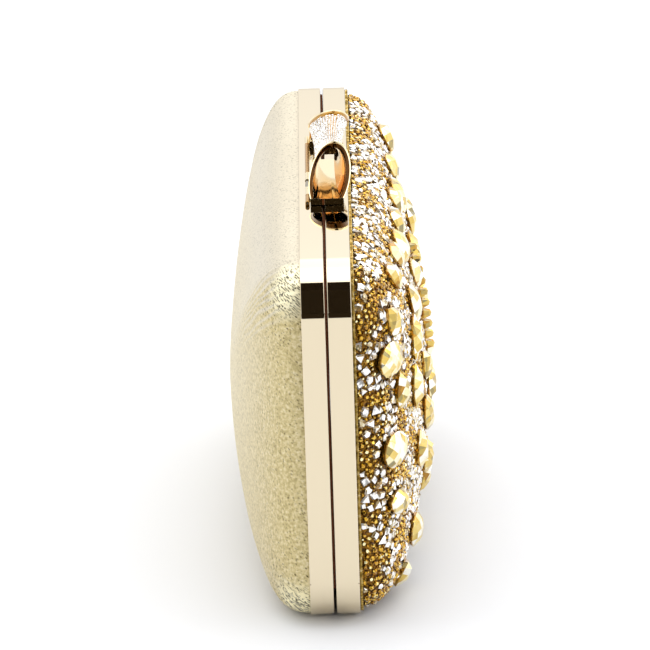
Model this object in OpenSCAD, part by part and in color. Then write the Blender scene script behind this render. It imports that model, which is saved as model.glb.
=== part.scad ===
// Hard-shell evening bag: two domed half shells in a hinged metal frame, closed by a bow-shaped clasp.
// The bag stands on the hinged edge of its frame. X runs along the bag, Z is up, the fabric half
// is on +Y and the crystal half on -Y. The origin is at the middle of the base, on the parting line.

/* [Case] */
// Length of the frame
case_l = 210; // [180:1:250]
// Height of the frame from its base to its top
case_h = 120; // [105:1:140]
// Outer radius of the four corners
corner_r = 15.5; // [12:0.5:22]
// Width of one half of the frame, from the parting line
frame_w = 8; // [7:0.5:11]
// Dark gap between the two halves
parting_gap = 0.8; // [0.5:0.1:1.2]

/* [Frame band] */
// Wall of the band
frame_wall = 0.8; // [0.6:0.1:1.2]
// Thickness of the flange along the parting line
flange_t = 1; // [0.8:0.1:1.3]
// Depth of that flange, from the outside of the band
flange_depth = 6; // [5.6:0.1:8]
// Width of the small joint marks in the band
nick_w = 0.5; // [0.3:0.1:0.8]

/* [Domes] */
// Swell of the fabric half beyond the frame
back_swell = 25; // [18:0.5:32]
// Swell of the crystal half beyond the frame, without the large stones
front_swell = 24.6; // [18:0.5:32]
// How far the crown of the fabric half lies below the middle
back_drop = 9.8; // [6:0.2:12]
// How far the crown of the crystal half lies below the middle
front_drop = 11.5; // [6:0.5:12]
// Wall of the fabric half's shell
back_shell_t = 1.2; // [0.9:0.1:1.6]
// Wall of the crystal half's shell, thinner because the stones on it are heavy
front_shell_t = 0.9; // [0.8:0.1:1.2]
// Thickness of the fabric cover
fabric_t = 0.6; // [0.4:0.1:0.9]
// Thickness of the layer of small crystals
carpet_t = 1.6; // [1.2:0.1:2]
// Thickness of the linings
lining_t = 0.5; // [0.3:0.1:0.8]
// How deep the layers are tucked into the band
tuck = 1.8; // [1.2:0.1:2.2]
// Thickness of the braid between the band and the crystals
braid_t = 0.6; // [0.4:0.1:0.8]
// How far that braid stands out of the band
braid_h = 1.6; // [1:0.1:2.4]

// Distance between two clumps in that layer
clump_pitch = 8.8; // [8:0.2:12]
// Height of these clumps over the hollows between them
clump_h = 0.6; // [0.3:0.05:0.7]

/* [Large stones] */
// Height of a large stone
stone_h = 3; // [2:0.1:3.6]
// Length of an oval stone
oval_l = 16; // [10:0.5:16.5]
// Width of an oval stone
oval_w = 11.4; // [8:0.2:11.6]
// Length of a pointed stone
navette_l = 15; // [10:0.5:15.5]
// Width of a pointed stone
navette_w = 8.4; // [5:0.2:8.8]
// Length of a drop stone
drop_l = 12.4; // [8:0.2:13]
// Width of a drop stone
drop_w = 9.4; // [6:0.2:9.8]
// Side of a square stone
square_w = 2.8; // [2:0.1:3.2]
// Distance between two square stones
square_pitch = 3.3; // [3:0.1:4]

/* [Base hinge] */
// Length of the hinge along the base
hinge_l = 120; // [80:2:140]
// Radius of the hinge barrel
hinge_r = 1.2; // [1:0.05:1.4]
// Radius of the hinge pin
hinge_pin_r = 0.6; // [0.4:0.05:0.7]
// Thickness of the hinge leaves
leaf_t = 0.6; // [0.4:0.05:0.8]
// Width of the hinge leaves, from the pin
leaf_w = 5.6; // [5:0.1:6]

/* [Clasp] */
// Half the length of the bow at its foot
bow_foot = 37; // [30:1:42]
// Half the length of the bow at its top
bow_top = 17; // [12:1:24]
// Inner height of the bow at its ends
bow_h = 10.8; // [8:0.2:13]
// Inner width of the bow at its ends
bow_w = 10.9; // [9:0.1:12]
// Wall of the bow
bow_t = 0.5; // [0.4:0.05:0.7]
// Thickness of the stones set on the bow
pave_t = 0.6; // [0.4:0.05:0.8]
// Width of the bright rims along the ends of the bow
rim_w = 1; // [0.6:0.1:1.4]
// How far these rims stand out over the stones
rim_proud = 0.15; // [0.1:0.05:0.3]
// Thickness of the foot plates
plate_t = 2.1; // [1.6:0.1:2.6]
// Length of the long foot plate
plate_l = 41.5; // [38:0.5:46]
// Width of the foot plates
plate_w = 10.85; // [9.6:0.05:11]
// Length of the short foot plate
foot_l = 13; // [10:0.5:16]
// Radius of the clasp's hinge barrel
barrel_r = 0.7; // [0.6:0.05:0.8]
// Radius of the clasp's pin
clasp_pin_r = 0.35; // [0.3:0.01:0.4]

/* [Latch] */
// Length of the latch tooth
tooth_l = 6; // [4:0.5:8]
// Thickness of the latch tooth
tooth_t = 0.8; // [0.6:0.05:1]
// Depth of the tooth below the foot plate
tooth_h = 1.35; // [1.2:0.05:1.5]
// Thickness of the leaf of the catch
catch_t = 0.3; // [0.2:0.05:0.4]
// Length of the leaf of the catch
catch_l = 21; // [18:0.5:24]
// Width of the leaf of the catch
catch_w = 3; // [2.6:0.1:3.2]

/* [Hidden] */

$fn = 48;
overrun = 1;

// Clearances
layer_gap = 0.1;
seat_gap = 0.05;
pin_clearance = 0.04;
knuckle_gap = 0.2;
barrel_gap = 0.4;
leaf_gap = 0.15;
foot_gap = 0.25;
latch_gap = 0.2;
stone_gap = 0.12;

// How the domes round off: the powers of their crown, their sides and the plan of their middle
back_crown_power = 1.77;
back_side_power = 2.47;
back_blend_share = 0.77;
front_crown_power = 2.05;
front_side_power = 2.38;
front_blend_share = 1;
plan_power = 1.7;

// Number of steps in the meshes of the domes
side_steps = 2;
corner_steps = 4;
long_steps = 4;
dome_rings = 9;

half_l = case_l / 2;
half_h = case_h / 2;
half_gap = parting_gap / 2;
hinge_z = hinge_r;
groove_r = hinge_r + barrel_gap;
knuckle_count = 5;
knuckle_l = hinge_l / knuckle_count;

// Profiles of the two domes: crown, side, blend and drop
back_profile = [back_crown_power, back_side_power, back_blend_share, back_drop];
front_profile = [front_crown_power, front_side_power, front_blend_share, front_drop];

// Insets of the layers from the outside of the band
cover_inset = frame_wall + layer_gap;
back_shell_inset = cover_inset + fabric_t + layer_gap;
back_lining_inset = back_shell_inset + back_shell_t + layer_gap;
carpet_inset = cover_inset + braid_t + layer_gap;
front_shell_inset = carpet_inset + carpet_t + layer_gap;
front_lining_inset = front_shell_inset + front_shell_t + layer_gap;

// Rounded rectangle of the frame, inset from its outside, from y_from to y_to
module frame_block(inset, y_from, y_to) {
    depth = y_to - y_from;
    straight_l = case_l - 2 * corner_r;
    straight_h = case_h - 2 * corner_r;
    translate([-straight_l / 2, y_from, inset])
        cube([straight_l, depth, case_h - 2 * inset]);
    translate([inset - half_l, y_from, corner_r])
        cube([case_l - 2 * inset, depth, straight_h]);
    for (x = [-straight_l / 2, straight_l / 2])
        for (z = [corner_r, case_h - corner_r])
            translate([x, y_to, z])
                rotate([90, 0, 0])
                    cylinder(h = depth, r = corner_r - inset);
}

// Round bar along X
module bar(x_from, x_to, y, z, r) {
    translate([x_from, y, z])
        rotate([0, 90, 0])
            cylinder(h = x_to - x_from, r = r);
}

// Box given by its two corners
module box(low, high) {
    translate(low)
        cube(high - low);
}

// Rivets and their holes stand on these places along the hinge
rivet_r = 0.8;
rivet_head_r = 1.3;
rivet_head_h = 0.5;
rivet_sink = 0.5;
rivet_y = (hinge_r + leaf_w) / 2 + rivet_head_r / 4;
rivet_x_shares = [-0.375, -0.125, 0.125, 0.375];
leaf_top = frame_wall + leaf_t;

// One half of the frame, drawn for the +Y side
module frame_half() {
    notch_l = hinge_l + 2 * knuckle_gap;
    difference() {
        frame_block(0, half_gap, frame_w);
        frame_block(frame_wall, half_gap + flange_t, frame_w + overrun);
        frame_block(flange_depth, -overrun, frame_w);
        bar(-half_l, half_l, 0, hinge_z, groove_r);
        box([-notch_l / 2, 0, frame_wall], [notch_l / 2, half_gap + flange_t, flange_depth + overrun]);
        for (share = rivet_x_shares)
            translate([share * hinge_l, rivet_y, frame_wall - rivet_sink - layer_gap])
                cylinder(h = frame_wall, r = rivet_r + pin_clearance);
        for (side = [-1, 1])
            box([side * half_l - nick_w / 2, frame_w - nick_w, corner_r - nick_w / 2],
                [side * half_l + nick_w / 2, frame_w + overrun, corner_r + nick_w / 2]);
    }
}

// Angles at which the domes are cut, closer together round the corners
first_quarter = concat(
    [for (i = [0 : side_steps - 1]) atan2(i * (half_h - corner_r) / side_steps, half_l)],
    [for (i = [0 : corner_steps])
        let (turn = 90 * i / corner_steps)
        atan2(half_h - corner_r + corner_r * sin(turn), half_l - corner_r + corner_r * cos(turn))],
    [for (i = [long_steps - 1 : -1 : 1]) atan2(half_h, i * (half_l - corner_r) / long_steps)]
);
quarter_last = len(first_quarter) - 1;
dome_angles = concat(
    first_quarter, [90], [for (i = [quarter_last : -1 : 1]) 180 - first_quarter[i]],
    [for (angle = first_quarter) 180 + angle], [270], [for (i = [quarter_last : -1 : 1]) 360 - first_quarter[i]]
);

// Distance from the middle of the frame to its rounded outline, at an angle
function rim_radius(angle, inset) =
    let (c = abs(cos(angle)), s = abs(sin(angle)), a = half_l - inset, b = half_h - inset)
    let (cx = half_l - corner_r, cz = half_h - corner_r, r = corner_r - inset)
    s * a <= c * cz ? a / c :
    c * b <= s * cx ? b / s :
    let (dot = c * cx + s * cz)
    dot + sqrt(max(0, dot * dot - cx * cx - cz * cz + r * r));

// The same distance on a plump oval that fills the frame
function plan_radius(angle, inset) =
    let (c = abs(cos(angle)) / (half_l - inset), s = abs(sin(angle)) / (half_h - inset))
    pow(pow(c, plan_power) + pow(s, plan_power), -1 / plan_power);

// Point on a dome: share is 1 at the rim and 0 at the crown
function dome_point(angle, share, inset, swell, profile) =
    let (blend = (1 - share) * profile[2])
    let (reach = share * ((1 - blend) * rim_radius(angle, inset) + blend * plan_radius(angle, inset)))
    let (rise = swell * pow(max(0, 1 - pow(share, profile[0])), 1 / profile[1]))
    [reach * cos(angle), frame_w + rise, half_h + reach * sin(angle) - profile[3] * (1 - share * share)];

// All points of one face of a dome, from its tucked edge to its crown
function dome_face(inset, swell, profile) = concat(
    [for (angle = dome_angles)
        let (p = dome_point(angle, 1, inset, swell, profile))
        [p[0], frame_w - tuck, p[2]]],
    [for (ring = [0 : dome_rings - 1])
        for (angle = dome_angles)
            dome_point(angle, cos(90 * ring / dome_rings), inset, swell, profile)],
    [dome_point(0, 0, inset, swell, profile)]
);

// Triangles between two rings of count points, that start at first and second
function band_faces(first, second, count) = [
    for (i = [0 : count - 1])
        let (next = (i + 1) % count)
        for (face = [[first + i, first + next, second + next], [first + i, second + next, second + i]])
            face
];

function fan_faces(first, tip, count) = [for (i = [0 : count - 1]) [first + i, first + (i + 1) % count, tip]];

function flipped(faces) = [for (face = faces) [face[2], face[1], face[0]]];

function shifted(faces, by) = [for (face = faces) [face[0] + by, face[1] + by, face[2] + by]];

// Closed layer of a dome, drawn for the +Y side
module dome_layer(inset, thick, swell, profile) {
    count = len(dome_angles);
    outer = dome_face(inset, swell, profile);
    inner = dome_face(inset + thick, swell - thick, profile);
    skin = concat(
        [for (ring = [0 : dome_rings - 1])
            for (face = band_faces(ring * count, (ring + 1) * count, count))
                face],
        fan_faces(dome_rings * count, len(outer) - 1, count)
    );
    polyhedron(
        points = concat(outer, inner),
        faces = concat(skin, flipped(shifted(skin, len(outer))), band_faces(len(outer), 0, count))
    );
}

module on_front() {
    mirror([0, 1, 0])
        children();
}

// One leaf of the base hinge, drawn for the +Y side, with the barrels whose number is even or odd
module hinge_leaf(first) {
    difference() {
        union() {
            difference() {
                box([-hinge_l / 2, hinge_r + leaf_gap, frame_wall], [hinge_l / 2, leaf_w, leaf_top]);
                for (share = rivet_x_shares)
                    translate([share * hinge_l, rivet_y, 0])
                        cylinder(h = leaf_top + overrun, r = rivet_r + pin_clearance);
            }
            for (i = [first : 2 : knuckle_count - 1]) {
                x_from = i * knuckle_l - hinge_l / 2 + knuckle_gap / 2;
                x_to = x_from + knuckle_l - knuckle_gap;
                bar(x_from, x_to, 0, hinge_z, hinge_r);
                box([x_from, 0, frame_wall], [x_to, hinge_r + 2 * leaf_gap, leaf_top]);
            }
        }
        bar(-hinge_l, hinge_l, 0, hinge_z, hinge_pin_r + pin_clearance);
    }
}

module hinge_rivets() {
    for (share = rivet_x_shares)
        translate([share * hinge_l, rivet_y, 0]) {
            translate([0, 0, frame_wall - rivet_sink])
                cylinder(h = rivet_sink + leaf_t, r = rivet_r);
            translate([0, 0, leaf_top])
                cylinder(h = rivet_head_h, r = rivet_head_r);
        }
}

module back_frame() {
    color("#e6d9b8")
        frame_half();
}

module back_shell() {
    color("#b7ab8c")
        dome_layer(back_shell_inset, back_shell_t, back_swell - fabric_t - layer_gap, back_profile);
}

module back_fabric() {
    color("#dcd0a6")
        dome_layer(cover_inset, fabric_t, back_swell, back_profile);
}

module back_lining() {
    color("#8d7a4e")
        dome_layer(back_lining_inset, lining_t, back_swell - fabric_t - back_shell_t - 2 * layer_gap, back_profile);
}

module back_hinge_leaf() {
    color("#c9b27a")
        hinge_leaf(0);
}

module back_hinge_rivets() {
    color("#a8935c")
        hinge_rivets();
}

module hinge_pin() {
    color("#9c9486")
        bar(-hinge_l / 2, hinge_l / 2, 0, hinge_z, hinge_pin_r);
}

// Places of the clasp on top of the frame
plate_low = case_h + foot_gap;
plate_top = plate_low + plate_t;
plate_back = 4.25;
plate_front = plate_back - plate_w;
barrel_y = plate_back + barrel_r + foot_gap;
barrel_z = plate_low + barrel_r - foot_gap / 2;
barrel_from = -bow_foot + knuckle_gap;
barrel_to = bow_foot - 4 * rim_w;
barrel_parts = 9;
barrel_part_l = (barrel_to - barrel_from) / barrel_parts;
// The barrel's parts that belong to the clasp, and the runs of parts that belong to the frame
clasp_parts = [1, 3, 8];
lug_runs = [[0, 1], [4, 8]];
spring_part = 2;

function barrel_x(part) = barrel_from + part * barrel_part_l;

module clasp_lugs() {
    color("#e0cf9f")
        difference() {
            for (run = lug_runs) {
                x_from = barrel_x(run[0]) + knuckle_gap / 2;
                x_to = barrel_x(run[1]) - knuckle_gap / 2;
                bar(x_from, x_to, barrel_y, barrel_z, barrel_r);
                box([x_from, barrel_y - barrel_r, case_h], [x_to, barrel_y + barrel_r, barrel_z]);
            }
            bar(-half_l, half_l, barrel_y, barrel_z, clasp_pin_r + pin_clearance);
        }
}

module clasp_pin() {
    color("#9c9486")
        bar(barrel_from, barrel_to, barrel_y, barrel_z, clasp_pin_r);
}

// The return spring: a coil on the pin, with one end in the foot plate and one on the frame
wire_r = 0.12;
coil_r = clasp_pin_r + wire_r + pin_clearance;
coil_turns = 6;
coil_pitch = 0.8;
coil_steps = 12;
wire_sides = 6;
coil_from = barrel_x(spring_part) + 2 * knuckle_gap + wire_r;
spring_leg_l = 2;
coil_angle = 90 + 360 * coil_turns;

function coil_point(turned) = [
    coil_from + coil_pitch * turned / 360,
    barrel_y + coil_r * sin(turned),
    barrel_z + coil_r * cos(turned)
];

spring_path = concat(
    [[coil_from, barrel_y - spring_leg_l, barrel_z + coil_r]],
    [for (i = [0 : coil_turns * coil_steps + coil_steps / 4]) coil_point(i * 360 / coil_steps)],
    [[coil_point(coil_angle)[0], barrel_y + coil_r, case_h + seat_gap]]
);

function unit(v) = v / norm(v);

function path_direction(path, i) = unit(path[min(i + 1, len(path) - 1)] - path[max(i - 1, 0)]);

// Tube of small radius swept along a path that never runs along X
module wire(path, r) {
    last = len(path) - 1;
    points = [
        for (i = [0 : last])
            let (ahead = path_direction(path, i))
            let (across = unit(cross(ahead, [1, 0, 0])), along = cross(ahead, across))
            for (k = [0 : wire_sides - 1])
                path[i] + r * cos(360 * k / wire_sides) * across + r * sin(360 * k / wire_sides) * along
    ];
    skin = [
        for (i = [0 : last - 1])
            for (face = band_faces(i * wire_sides, (i + 1) * wire_sides, wire_sides))
                face
    ];
    caps = [
        for (k = [1 : wire_sides - 2])
            for (face = [[0, k + 1, k], [last * wire_sides, last * wire_sides + k, last * wire_sides + k + 1]])
                face
    ];
    polyhedron(points = points, faces = flipped(concat(skin, caps)));
}

module clasp_spring() {
    color("#8f8b84")
        wire(spring_path, wire_r);
}

// Places of the latch
tooth_x = -20;
tooth_y = -4.5;
latch_from = tooth_x - tooth_l / 2;
latch_to = tooth_x + tooth_l / 2;
pocket_gap = 1;
pocket_low = plate_low - tooth_h - foot_gap;
leaf_z = pocket_low - catch_t - layer_gap;
catch_foot_l = 7;
catch_rivet_r = 0.5;
catch_rivet_head_r = 1;
catch_rivet_head_h = 0.6;
catch_y = tooth_y + tooth_t / 2 + latch_gap;
catch_from = latch_to - catch_l;
catch_rivet_x_shares = [0.3, 0.7];
catch_rivet_y = catch_y + catch_t / 2 + tooth_t / 4;

module front_frame() {
    color("#e6d9b8")
        difference() {
            on_front()
                frame_half();
            box([latch_from - pocket_gap, tooth_y - pocket_gap, pocket_low],
                [latch_to + pocket_gap, overrun, case_h + overrun]);
            for (share = catch_rivet_x_shares)
                translate([catch_from + share * catch_foot_l, catch_rivet_y, case_h - frame_wall - overrun])
                    cylinder(h = overrun + rivet_sink + layer_gap, r = catch_rivet_r + pin_clearance);
        }
}

module front_shell() {
    color("#a4956b")
        on_front()
            dome_layer(front_shell_inset, front_shell_t, front_swell - carpet_t - layer_gap, front_profile);
}

// Angle of the point of the rim that lies a distance on from its right side, within one quarter
function quarter_angle(gone) =
    let (straight = half_h - corner_r, arc = corner_r * PI / 2)
    gone < straight ? atan2(gone, half_l) :
    gone > straight + arc ? atan2(half_h, half_l - corner_r - (gone - straight - arc)) :
    let (turn = 90 * (gone - straight) / arc)
    atan2(straight + corner_r * sin(turn), half_l - corner_r + corner_r * cos(turn));

// The same for the whole rim, from the share of the way round it
function rim_angle(share) =
    let (whole = floor(share * 4), part = share * 4 - whole)
    whole % 2 == 0 ? whole * 90 + quarter_angle(part * rim_quarter) :
    (whole + 1) * 90 - quarter_angle((1 - part) * rim_quarter);

// Rings of the crystal layer, from its rim to its crown. Each has a point for every half clump.
rim_quarter = half_h + half_l - 2 * corner_r + corner_r * PI / 2;
carpet_ring_count = 14;
carpet_ring_shares = [for (ring = [0 : carpet_ring_count - 1]) cos(90 * ring / carpet_ring_count)];
carpet_rings = [
    for (share = carpet_ring_shares)
        let (count = 2 * max(3, round(2 * share * rim_quarter * sqrt(2) / clump_pitch)))
        [for (i = [0 : count - 1]) rim_angle(i / count)]
];

function points_before(ring) = ring == 0 ? 0 : len(carpet_rings[ring - 1]) + points_before(ring - 1);

// Triangles between two rings whose points lie at different angles
function stitched(angles, others, first, second, i = 0, j = 0) =
    let (m = len(angles), n = len(others))
    i == m && j == n ? [] :
    let (on = i + 1 < m ? angles[i + 1] : 360, other_on = j + 1 < n ? others[j + 1] : 360)
    let (step = j == n || (i < m && on <= other_on))
    concat(
        step ?
            [[first + i, first + (i + 1) % m, second + j % n]] :
            [[first + i % m, second + (j + 1) % n, second + j]],
        stitched(angles, others, first, second, step ? i + 1 : i, step ? j : j + 1)
    );

// Every other point of the layer lies in a hollow, but under the large stones it is level
function carpet_point(ring, i) =
    let (angle = carpet_rings[ring][i], share = carpet_ring_shares[ring])
    let (p = dome_point(angle, share, carpet_inset, front_swell, front_profile))
    let (low = dome_point(angle, share, carpet_inset + clump_h, front_swell - clump_h, front_profile))
    let (free = min([for (seat = stone_seats) norm(p - seat[0]) - seat[1]]) > 0)
    ring > 0 && (i + ring) % 2 == 1 && free ? low : p;

module crystal_carpet() {
    rim = carpet_rings[0];
    last = len(carpet_rings[carpet_ring_count - 1]);
    outer = concat(
        [for (i = [0 : len(rim) - 1])
            let (p = carpet_point(0, i))
            [p[0], frame_w - tuck, p[2]]],
        [for (ring = [0 : carpet_ring_count - 1])
            for (i = [0 : len(carpet_rings[ring]) - 1])
                carpet_point(ring, i)],
        [dome_point(0, 0, carpet_inset, front_swell, front_profile)]
    );
    outer_skin = concat(
        band_faces(0, len(rim), len(rim)),
        [for (ring = [1 : carpet_ring_count - 1])
            let (first = len(rim) + points_before(ring - 1), second = len(rim) + points_before(ring))
            for (face = stitched(carpet_rings[ring - 1], carpet_rings[ring], first, second))
                face],
        fan_faces(len(outer) - 1 - last, len(outer) - 1, last)
    );
    inner = dome_face(carpet_inset + carpet_t, front_swell - carpet_t, front_profile);
    count = len(dome_angles);
    inner_skin = concat(
        [for (ring = [0 : dome_rings - 1])
            for (face = band_faces(ring * count, (ring + 1) * count, count))
                face],
        fan_faces(dome_rings * count, len(inner) - 1, count)
    );
    color("#d8c98f")
        on_front()
            polyhedron(
                points = concat(outer, inner),
                faces = concat(
                    outer_skin, flipped(shifted(inner_skin, len(outer))),
                    stitched(dome_angles, rim, len(outer), 0)
                )
            );
}

module rim_braid() {
    color("#c2a75a")
        on_front()
            difference() {
                frame_block(cover_inset, frame_w - tuck, frame_w + braid_h);
                frame_block(cover_inset + braid_t, frame_w - tuck - overrun, frame_w + braid_h + overrun);
            }
}

module front_lining() {
    color("#8d7a4e")
        on_front()
            dome_layer(
                front_lining_inset, lining_t, front_swell - carpet_t - front_shell_t - 2 * layer_gap, front_profile
            );
}

module front_hinge_leaf() {
    color("#c9b27a")
        on_front()
            hinge_leaf(1);
}

module front_hinge_rivets() {
    color("#a8935c")
        on_front()
            hinge_rivets();
}

// Leaf of sprung steel under the top of the front frame, with a lip behind the latch tooth
module catch_spring() {
    leaf_front = catch_rivet_y - catch_w / 2;
    lip_top = plate_low - 2 * latch_gap - catch_t;
    color("#b9b3a6")
        difference() {
            union() {
                box([catch_from, leaf_front, leaf_z], [latch_to, leaf_front + catch_w, leaf_z + catch_t]);
                box([catch_from, leaf_front, leaf_z],
                    [catch_from + catch_foot_l, leaf_front + catch_w, case_h - frame_wall]);
                box([latch_from, catch_y, leaf_z], [latch_to, catch_y + catch_t, lip_top]);
            }
            for (share = catch_rivet_x_shares)
                translate([catch_from + share * catch_foot_l, catch_rivet_y, leaf_z - overrun])
                    cylinder(h = case_h - leaf_z + overrun, r = catch_rivet_r + pin_clearance);
        }
}

module catch_rivets() {
    color("#a8935c")
        for (share = catch_rivet_x_shares)
            translate([catch_from + share * catch_foot_l, catch_rivet_y, leaf_z - catch_rivet_head_h]) {
                cylinder(h = catch_rivet_head_h, r = catch_rivet_head_r);
                cylinder(h = case_h - frame_wall + rivet_sink - leaf_z + catch_rivet_head_h, r = catch_rivet_r);
            }
}

// Faceted stone on the crystal half. Its outline runs through corners points of a curve whose ends
// are rounder or sharper with the powers at its two ends.
stone_level_shares = [0, 0.35, 0.75, 1];
stone_size_shares = [0.86, 1, 0.84, 0.56];
nudge_share = 0.01;
stone_corners = 8;
square_corners = 4;
square_count = 10;
square_share_top = 0.66;

function stone_surface(angle, share) = dome_point(angle, share, carpet_inset, front_swell, front_profile);

// Place and direction of a stone: its foot, its outward normal and its two axes along the surface
function stone_place(angle, share, spin) =
    let (p = stone_surface(angle, share))
    let (step_a = stone_surface(angle + 360 * nudge_share, share) - stone_surface(angle - 360 * nudge_share, share))
    let (step_s = stone_surface(angle, share + nudge_share) - stone_surface(angle, share - nudge_share))
    let (normal = unit(cross(step_s, step_a)))
    let (out = normal[1] < 0 ? -normal : normal)
    let (up = unit([0, 0, 1] - out[2] * out), across = cross(up, out))
    [p + stone_gap * out, out, cos(spin) * up + sin(spin) * across, cos(spin) * across - sin(spin) * up];

function stone_outline(corners, tip_power, tail_power) = [
    for (i = [0 : corners - 1])
        let (turn = 360 * (i + 0.5) / corners)
        let (tip = pow(sin(turn / 2) * sin(turn / 2), tip_power))
        let (tail = pow(cos(turn / 2) * cos(turn / 2), tail_power))
        [cos(turn), sin(turn) * tip * tail]
];

module stone(place, length, width, outline) {
    count = len(outline);
    widest = max([for (point = outline) point[1]]);
    longest = max([for (point = outline) point[0]]);
    levels = len(stone_level_shares);
    points = [
        for (k = [0 : levels - 1])
            for (point = outline)
                place[0] + stone_h * stone_level_shares[k] * place[1]
                + stone_size_shares[k] * length / 2 * point[0] / longest * place[2]
                + stone_size_shares[k] * width / 2 * point[1] / widest * place[3]
    ];
    skin = [
        for (k = [0 : levels - 2])
            for (face = band_faces(k * count, (k + 1) * count, count))
                face
    ];
    top = (levels - 1) * count;
    caps = [
        for (k = [1 : count - 2])
            for (face = [[0, k + 1, k], [top, top + k, top + k + 1]])
                face
    ];
    polyhedron(points = points, faces = concat(skin, caps));
}

// Stones in pairs: one at the left and its mirror image at the right. Each row of a list holds the
// angle and the share of its place on the dome, and the turn of its long axis.
module stone_pairs(places, length, width, outline) {
    on_front()
        for (place = places) {
            stone(stone_place(place[0], place[1], place[2]), length, width, outline);
            stone(stone_place(180 - place[0], place[1], -place[2]), length, width, outline);
        }
}

oval_place_shares = [
    [181, 0.9, 88], [163, 0.915, 85], [208, 0.73, 60], [142, 0.655, 55], [120, 0.8, 75], [236, 0.8, 65],
    [183, 0.37, 60]
];
navette_place_shares = [
    [168, 0.66, -5], [192.5, 0.885, 75], [154.5, 0.655, -25], [188, 0.6, 15], [108, 0.6, 40],
    [250, 0.62, -40], [172, 0.17, -30]
];
drop_place_shares = [
    [168.5, 0.845, 10], [155.3, 0.895, 40], [145.5, 0.89, 60], [134, 0.86, 70], [203, 0.44, -40],
    [212, 0.87, 40], [158, 0.4, 40], [102, 0.84, -60], [257, 0.84, 60], [222, 0.52, 20]
];

// Feet of all large stones and the distance within which the crystal layer is level round them
function seats_of(places, reach) = [
    for (place = places)
        for (angle = [place[0], 180 - place[0]])
            [stone_surface(angle, place[1]), reach]
];
square_places = [
    for (i = [0 : square_count - 1]) [90, square_share_top - i * square_pitch / half_h, 0]
];
stone_seats = concat(
    seats_of(oval_place_shares, oval_l / 2), seats_of(navette_place_shares, navette_l / 2),
    seats_of(drop_place_shares, drop_l / 2), seats_of(square_places, square_w)
);

module oval_stones() {
    color("#e3cf9a")
        stone_pairs(oval_place_shares, oval_l, oval_w, stone_outline(stone_corners, 0, 0));
}

module navette_stones() {
    color("#d9b574")
        stone_pairs(navette_place_shares, navette_l, navette_w, stone_outline(stone_corners, 0.3, 0.3));
}

module drop_stones() {
    color("#e0c084")
        stone_pairs(drop_place_shares, drop_l, drop_w, stone_outline(stone_corners, 0.6, 0));
}

// Row of square stones down the middle of the crystal half
module square_stones() {
    color("#efe6c8")
        on_front()
            for (place = square_places)
                stone(
                    stone_place(place[0], place[1], place[2]),
                    square_w, square_w, stone_outline(square_corners, 0, 0)
                );
}

// The bow: an arch that narrows in its middle and ends in slanting mouths
bow_half_angle = 125;
bow_waist_share = 0.58;
bow_saddle_share = 0.74;
bow_waist_power = 2.5;
bow_saddle_power = 2;
bow_lean_share = 0.22;
bow_crown_share = 1.7;
bow_y = -1.2;
bow_steps = 20;
bow_rows = 16;
bow_z = plate_top + seat_gap;
rim_share = rim_w / bow_top;

function swelling(v, waist, power) = waist + (1 - waist) * pow(abs(v), power);

// Point of the bow: v runs from -1 to 1 along it, turn from side to side over its top, and out is
// the distance from its inner face
function bow_point(v, turn, out) =
    let (arch = (cos(turn) - cos(bow_half_angle)) / (1 - cos(bow_half_angle)))
    let (half = bow_w / 2 * swelling(v, bow_waist_share, bow_waist_power) + out)
    let (high = bow_h * swelling(v, bow_saddle_share, bow_saddle_power) + out * bow_crown_share)
    [
        v * (bow_foot + (bow_top - bow_foot) * arch),
        bow_y + half * sin(turn) - bow_lean_share * high * arch,
        bow_z + high * arch
    ];

// Closed piece of the bow from v_from to v_to, between two distances from its inner face
module bow_piece(v_from, v_to, out_from, out_to, rows) {
    count = bow_steps + 1;
    turns = [for (i = [0 : bow_steps]) bow_half_angle * (2 * i / bow_steps - 1)];
    loop = 2 * count;
    points = [
        for (row = [0 : rows])
            let (v = v_from + (v_to - v_from) * row / rows)
            for (point = concat(
                [for (turn = turns) bow_point(v, turn, out_to)],
                [for (i = [bow_steps : -1 : 0]) bow_point(v, turns[i], out_from)]
            ))
                point
    ];
    skin = [
        for (row = [0 : rows - 1])
            for (face = band_faces(row * loop, (row + 1) * loop, loop))
                face
    ];
    last = rows * loop;
    ends = [
        for (i = [0 : bow_steps - 1])
            for (face = [
                [i, loop - 1 - i, i + 1], [i + 1, loop - 1 - i, loop - 2 - i],
                [last + i, last + i + 1, last + loop - 1 - i], [last + i + 1, last + loop - 2 - i, last + loop - 1 - i]
            ])
                face
    ];
    polyhedron(points = points, faces = concat(skin, ends));
}

cuff_end = 1 - rim_share - layer_gap / bow_top;

module bow_cuff() {
    color("#dcae62")
        bow_piece(-cuff_end, cuff_end, 0, bow_t, bow_rows);
}

module bow_pave() {
    color("#f3efe2")
        bow_piece(-cuff_end, cuff_end, bow_t + seat_gap, bow_t + seat_gap + pave_t, bow_rows);
}

module bow_rims() {
    color("#ead9ad")
        for (side = [-1, 1])
            bow_piece(
                side > 0 ? 1 - rim_share : -1, side > 0 ? 1 : rim_share - 1,
                0, bow_t + seat_gap + pave_t + rim_proud, 2
            );
}

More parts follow.
